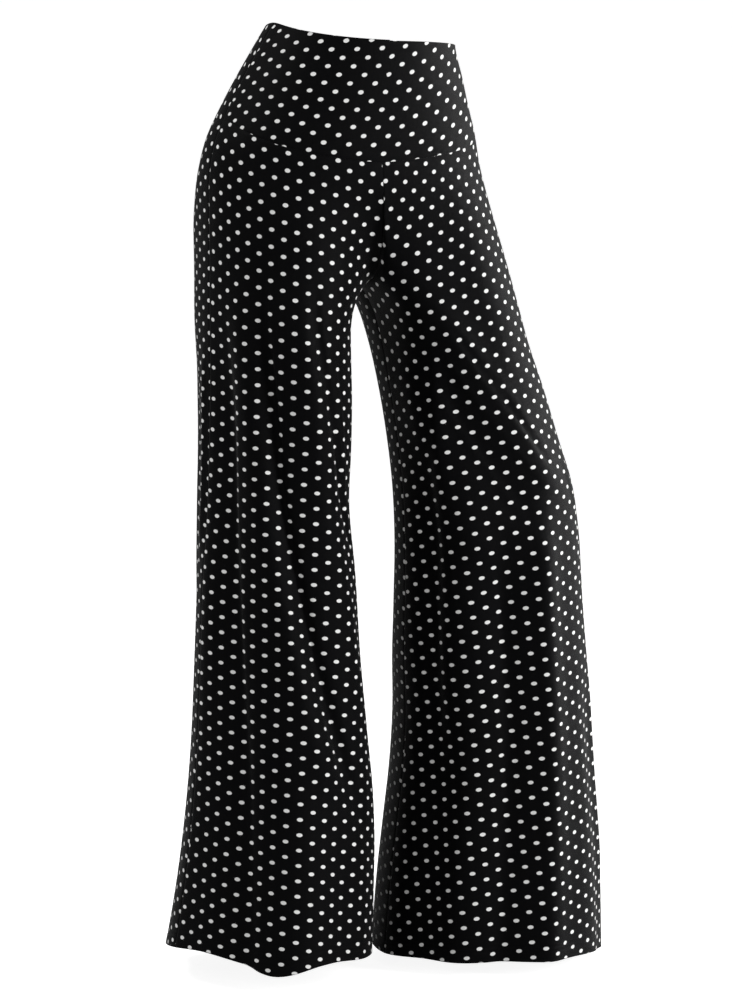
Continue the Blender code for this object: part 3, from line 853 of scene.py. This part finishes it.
garment = {}
for (name, grid, flip), skin, flat, places in zip(pieces, skins, patterns, prints):
    band = "waistband" in name
    faces = shell_faces(*skin.shape[:2])
    radius = (BAND_LAYERS if band else 2.0 * ONE_LAYER) / 2.0
    cloth_places, showing = cloth_map(places, radius, len(grid) if band else HEM_DOUBLE_ROWS)
    maps = {"Cloth": cloth_places, "OFBake": bake_map(flat)}
    garment[name] = sew(name + "_cloth", skin, flip, faces, maps, showing)

# %% [markdown]
# ## Shared effects
# Small node groups hold the effects that more than one material uses: the dots of the print, the fine
# loops of the knit and the uneven tone of worn black cloth.  A group only hands out masks, values and
# heights, and each material keeps its own shader.

# %% Helpers for node groups


def new_group(name, sizes, outputs):
    """A group that takes a place on the cloth and its sizes, with the sockets to read and to fill."""
    group = bpy.data.node_groups.new(name, "ShaderNodeTree")
    socket = group.interface.new_socket
    socket(name="Place", in_out="INPUT", socket_type="NodeSocketVector")
    for label, value in sizes.items():
        socket(name=label, in_out="INPUT", socket_type="NodeSocketFloat").default_value = value
    for label in outputs:
        socket(name=label, in_out="OUTPUT", socket_type="NodeSocketFloat")
    return group, group.nodes.new("NodeGroupInput").outputs, group.nodes.new("NodeGroupOutput").inputs


def join(tree, value, socket):
    """Sets a socket to a number, or links it to another socket."""
    if isinstance(value, bpy.types.NodeSocket):
        tree.links.new(value, socket)
    else:
        socket.default_value = value


def fill(tree, node, **values):
    """Fills a node's inputs by their names, with _ for a space, and hands the node back."""
    for label, value in values.items():
        join(tree, value, node.inputs[label.replace("_", " ")])
    return node


def add(tree, kind, **values):
    return fill(tree, tree.nodes.new("ShaderNode" + kind), **values)


def maths(tree, operation, *values):
    node = add(tree, "Math")
    node.operation = operation
    for value, socket in zip(values, node.inputs):
        join(tree, value, socket)
    return node.outputs[0]


def soft_step(tree, value, low, high, to_low=0.0, to_high=1.0):
    node = add(tree, "MapRange", Value=value, From_Min=low, From_Max=high, To_Min=to_low, To_Max=to_high)
    node.interpolation_type = "SMOOTHSTEP"
    return node.outputs["Result"]


def noise(tree, place, scale, detail=2.0, roughness=0.5):
    node = add(tree, "TexNoise", Vector=place, Scale=scale, Detail=detail, Roughness=roughness)
    return node.outputs["Fac"]


print("node helpers: fill, add, maths, soft_step, noise")

# %% Dots in a half-drop
BLUR_SCALE = 900.0
SIZE_SPREAD = 0.8


def half_drop_dots():
    """Mask of dots in columns, with every other column lowered by half a step."""
    sizes = {"Column step": 0.0155, "Drop step": 0.0174, "Dot width": 0.0067, "Dot height": 0.0042}
    sizes |= {"Softness": 0.10, "Unevenness": 0.05}
    group, given, out = new_group("Half-drop dots", sizes, ("Mask", "Each dot"))
    calc = partial(maths, group)
    parts = add(group, "SeparateXYZ", Vector=given["Place"]).outputs
    x = calc("DIVIDE", parts["X"], given["Column step"])
    in_column = calc("FLOOR", x)
    drop = calc("MULTIPLY", calc("FLOORED_MODULO", in_column, 2.0), 0.5)
    y = calc("ADD", calc("DIVIDE", parts["Y"], given["Drop step"]), drop)
    in_row = calc("FLOOR", y)
    off_x = calc("SUBTRACT", calc("SUBTRACT", x, in_column), 0.5)
    off_y = calc("SUBTRACT", calc("SUBTRACT", y, in_row), 0.5)
    wide = calc("DIVIDE", calc("MULTIPLY", off_x, given["Column step"]), given["Dot width"])
    tall = calc("DIVIDE", calc("MULTIPLY", off_y, given["Drop step"]), given["Dot height"])
    square_sum = calc("ADD", calc("MULTIPLY", wide, wide), calc("MULTIPLY", tall, tall))
    reach = calc("MULTIPLY", calc("SQRT", square_sum), 2.0)

    cell = add(group, "CombineXYZ", X=in_column, Y=in_row)
    each = add(group, "TexWhiteNoise", Vector=cell.outputs[0])
    blur = calc("SUBTRACT", noise(group, given["Place"], BLUR_SCALE), 0.5)
    size = calc("MULTIPLY", calc("SUBTRACT", each.outputs["Value"], 0.5), SIZE_SPREAD)
    wobble = calc("MULTIPLY", calc("ADD", blur, size), given["Unevenness"])
    reach = calc("ADD", reach, wobble)
    low = calc("SUBTRACT", 1.0, given["Softness"])
    high = calc("ADD", 1.0, given["Softness"])
    join(group, soft_step(group, reach, low, high, 1.0, 0.0), out["Mask"])
    join(group, each.outputs["Value"], out["Each dot"])
    return group


dots = half_drop_dots()
print("group:", dots.name)

# %% Loops of the knit
LOOP_SLANT = 1.6


def knit_loops():
    """Height of plain jersey: columns of small V shapes."""
    sizes = {"Wale": 0.00062, "Course": 0.00048}
    group, given, out = new_group("Jersey loops", sizes, ("Height",))
    calc = partial(maths, group)
    parts = add(group, "SeparateXYZ", Vector=given["Place"]).outputs
    x = calc("DIVIDE", parts["X"], given["Wale"])
    across = calc("ABSOLUTE", calc("SUBTRACT", calc("FRACT", x), 0.5))
    y = calc("DIVIDE", parts["Y"], given["Course"])
    slanted = calc("ADD", y, calc("MULTIPLY", across, LOOP_SLANT))
    wave = calc("SINE", calc("MULTIPLY", slanted, 2.0 * np.pi))
    loops = calc("MULTIPLY_ADD", wave, 0.5, 0.5)
    legs = calc("SINE", calc("MULTIPLY", across, 2.0 * np.pi))
    join(group, calc("MULTIPLY", loops, legs), out["Height"])
    return group


knit = knit_loops()
print("group:", knit.name)

# %% Uneven tone of black cloth
TONE_SCALE = 14.0
FIBRE_SCALE = 1500.0
FIBRE_LENGTH = 0.22
LINT_SCALE = 420.0
LINT_EDGE = (0.78, 0.84)


def cloth_tone():
    """Broad unevenness of the dye, fine fibre and the odd bit of lint."""
    group, given, out = new_group("Cloth tone", {}, ("Tone", "Fibre", "Lint"))
    stretched = add(group, "Mapping", Vector=given["Place"], Scale=(1.0, FIBRE_LENGTH, 1.0))
    join(group, noise(group, given["Place"], TONE_SCALE, 3.0), out["Tone"])
    join(group, noise(group, stretched.outputs[0], FIBRE_SCALE, 3.0, 0.6), out["Fibre"])
    lint = noise(group, given["Place"], LINT_SCALE, 2.0, 0.6)
    join(group, soft_step(group, lint, *LINT_EDGE), out["Lint"])
    return group


tone = cloth_tone()
print("group:", tone.name)

# %% [markdown]
# ## Materials
# The jersey is a smooth black knit with a faint sheen at grazing angles.  The dots are printed on its right
# side: flat white ink, no thicker than the yarn, with the loops still showing through.  Its wrong side is
# duller, and the print shows through it only as a trace.

# %% Jersey, right side and wrong side
BLACK = (0.0007, 0.0007, 0.0009)
BLACK_LIGHT = (0.0022, 0.0022, 0.0026)
LINT = (0.10, 0.10, 0.10)
DOT_WHITE = (0.80, 0.80, 0.79)
DOT_BRIGHT = (0.84, 0.84, 0.83)
GHOST = (0.030, 0.030, 0.032)
LOOP_HEIGHT = 0.00012


def colour_mix(tree, share, one, two):
    node = add(tree, "Mix", Factor=share)
    node.data_type = "RGBA"
    for value, label in ((one, "A_Color"), (two, "B_Color")):
        socket = next(item for item in node.inputs if item.identifier == label)
        join(tree, (*value, 1.0) if isinstance(value, tuple) else value, socket)
    return next(item for item in node.outputs if item.identifier == "Result_Color")


def grouped(tree, group, place):
    node = add(tree, "Group")
    node.node_tree = group
    return fill(tree, node, Place=place).outputs


def jersey(name, right_side):
    material = bpy.data.materials.new(name)
    material.use_nodes = True
    tree = material.node_tree
    calc = partial(maths, tree)
    place_node = add(tree, "UVMap")
    place_node.uv_map = "Cloth"
    place = place_node.outputs["UV"]
    ink_mask = grouped(tree, dots, place)
    loops = grouped(tree, knit, place)
    worn = grouped(tree, tone, place)

    uneven = calc("MULTIPLY_ADD", worn["Fibre"], 0.6, calc("MULTIPLY", worn["Tone"], 0.5))
    cloth_colour = colour_mix(tree, uneven, BLACK, BLACK_LIGHT)
    cloth_colour = colour_mix(tree, calc("MULTIPLY", worn["Lint"], 0.25), cloth_colour, LINT)
    if right_side:
        ink = calc("MULTIPLY", calc("MULTIPLY_ADD", loops["Height"], 0.10, 0.90), ink_mask["Mask"])
        ink_colour = colour_mix(tree, ink_mask["Each dot"], DOT_BRIGHT, DOT_WHITE)
        colour = colour_mix(tree, ink, cloth_colour, ink_colour)
        rough = calc("MULTIPLY_ADD", worn["Fibre"], 0.14, 0.52)
        rough = calc("MULTIPLY_ADD", ink_mask["Mask"], 0.12, rough)
    else:
        colour = colour_mix(tree, calc("MULTIPLY", ink_mask["Mask"], 0.7), cloth_colour, GHOST)
        rough = calc("MULTIPLY_ADD", worn["Fibre"], 0.16, 0.70)
    height = calc("MULTIPLY_ADD", worn["Fibre"], 0.4, loops["Height"])
    bump = add(tree, "Bump", Strength=0.35, Distance=LOOP_HEIGHT, Height=height)
    shader = fill(tree, tree.nodes["Principled BSDF"], Base_Color=colour, Roughness=rough)
    fill(tree, shader, Specular_IOR_Level=0.04, Sheen_Roughness=0.35, Normal=bump.outputs["Normal"])
    fill(tree, shader, Sheen_Weight=0.07 if right_side else 0.09)
    return material


printed_jersey = jersey("Dotted jersey", True)
plain_side = jersey("Jersey wrong side", False)
print("materials:", printed_jersey.name, "and", plain_side.name)

# %% [markdown]
# ## Dressing the frame
# Each piece takes the place of the plain solid with the same name and stays with the body of the garment.

# %% Put the pieces on the frame
for name, piece in garment.items():
    piece.data.materials.append(printed_jersey)
    piece.data.materials.append(plain_side)
    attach(piece, "root")
    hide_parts(name)
print("dressed:", sorted(piece.name for piece in garment.values()))

# %% [markdown]
# ## Studio
# The garment stands on a plain white floor that runs on behind it, under a white sky.  One large soft
# light stands to its left and in front, so the cloth brightens towards that side.  Two smaller ones rim its
# sides, and a faint one opens up the dark folds.

# %% Floor and lights
FLOOR_HEIGHT = -1.0605
FLOOR_REACH = 90.0
PAPER = (0.55, 0.55, 0.55, 1.0)
PAPER_GLOW = 0.90
WHITE = (1.0, 1.0, 1.0, 1.0)
SKY_LIGHT = 0.20


def area_light(name, place, target, size, watts):
    data = bpy.data.lights.new(name, "AREA")
    data.shape = "RECTANGLE"
    data.size, data.size_y = size
    data.energy = watts
    lamp = add_object(name, data)
    lamp.location = place
    aim = Vector(target) - Vector(place)
    lamp.rotation_euler = aim.to_track_quat("-Z", "Y").to_euler()


def show_camera(tree, plain, special, surface):
    """Shows the camera a special shader, while light meets the plain one."""
    seen = add(tree, "MixShader")
    join(tree, add(tree, "LightPath").outputs["Is Camera Ray"], seen.inputs[0])
    join(tree, plain.outputs[0], seen.inputs[1])
    join(tree, special.outputs[0], seen.inputs[2])
    join(tree, seen.outputs[0], surface)


floor_mesh = bpy.data.meshes.new("Studio floor")
corners = [(x * FLOOR_REACH, y * FLOOR_REACH, FLOOR_HEIGHT) for x, y in ((-1, -1), (1, -1), (1, 1), (-1, 1))]
floor_mesh.from_pydata(corners, [], [(0, 1, 2, 3)])
floor = add_object("Studio floor", floor_mesh)

paper = bpy.data.materials.new("Studio paper")
paper.use_nodes = True
tree = paper.node_tree
lit = fill(tree, tree.nodes["Principled BSDF"], Base_Color=PAPER, Roughness=0.9, Specular_IOR_Level=0.1)
both = add(tree, "AddShader")
join(tree, lit.outputs[0], both.inputs[0])
join(tree, add(tree, "Emission", Strength=PAPER_GLOW).outputs[0], both.inputs[1])
show_camera(tree, lit, both, tree.nodes["Material Output"].inputs["Surface"])
floor_mesh.materials.append(paper)

world = bpy.data.worlds.new("Studio")
scene.world = world
world.use_nodes = True
tree = world.node_tree
dim = fill(tree, tree.nodes["Background"], Color=WHITE, Strength=SKY_LIGHT)
bright = add(tree, "Background", Color=WHITE)
show_camera(tree, dim, bright, tree.nodes["World Output"].inputs["Surface"])

MIDDLE = (0.0, 0.0, -0.5)
area_light("Key", (2.2, -2.5, 0.6), MIDDLE, (1.0, 2.2), 108.0)
area_light("Left rim", (2.9, 0.3, 0.2), MIDDLE, (1.2, 2.4), 80.0)
area_light("Right rim", (-1.9, 0.7, 2.0), (-0.1, 0.0, -0.1), (1.0, 1.2), 50.0)
area_light("Fill", (-2.8, -2.4, 0.3), MIDDLE, (2.4, 2.4), 25.0)
scene.view_settings.view_transform = "Standard"

# %% Camera
LENS = 208.66
AIM = Vector((0.00457, -0.00223, -0.5265))
BACK = Vector((-0.4352, -0.8923, 0.1201))
DISTANCE = 6.55
SIGHT = 300.0

camera_data = bpy.data.cameras.new("Camera")
camera_data.lens = LENS
camera_data.clip_end = SIGHT
camera = add_object("Camera", camera_data)
across = Vector((-BACK.y, BACK.x, 0.0)).normalized()
upward = BACK.normalized().cross(across)
turned = Matrix((across, upward, BACK.normalized())).transposed()
camera.matrix_world = Matrix.Translation(AIM + BACK * DISTANCE) @ turned.to_4x4()
scene.camera = camera
print("camera stands at", [round(value, 3) for value in camera.matrix_world.translation])
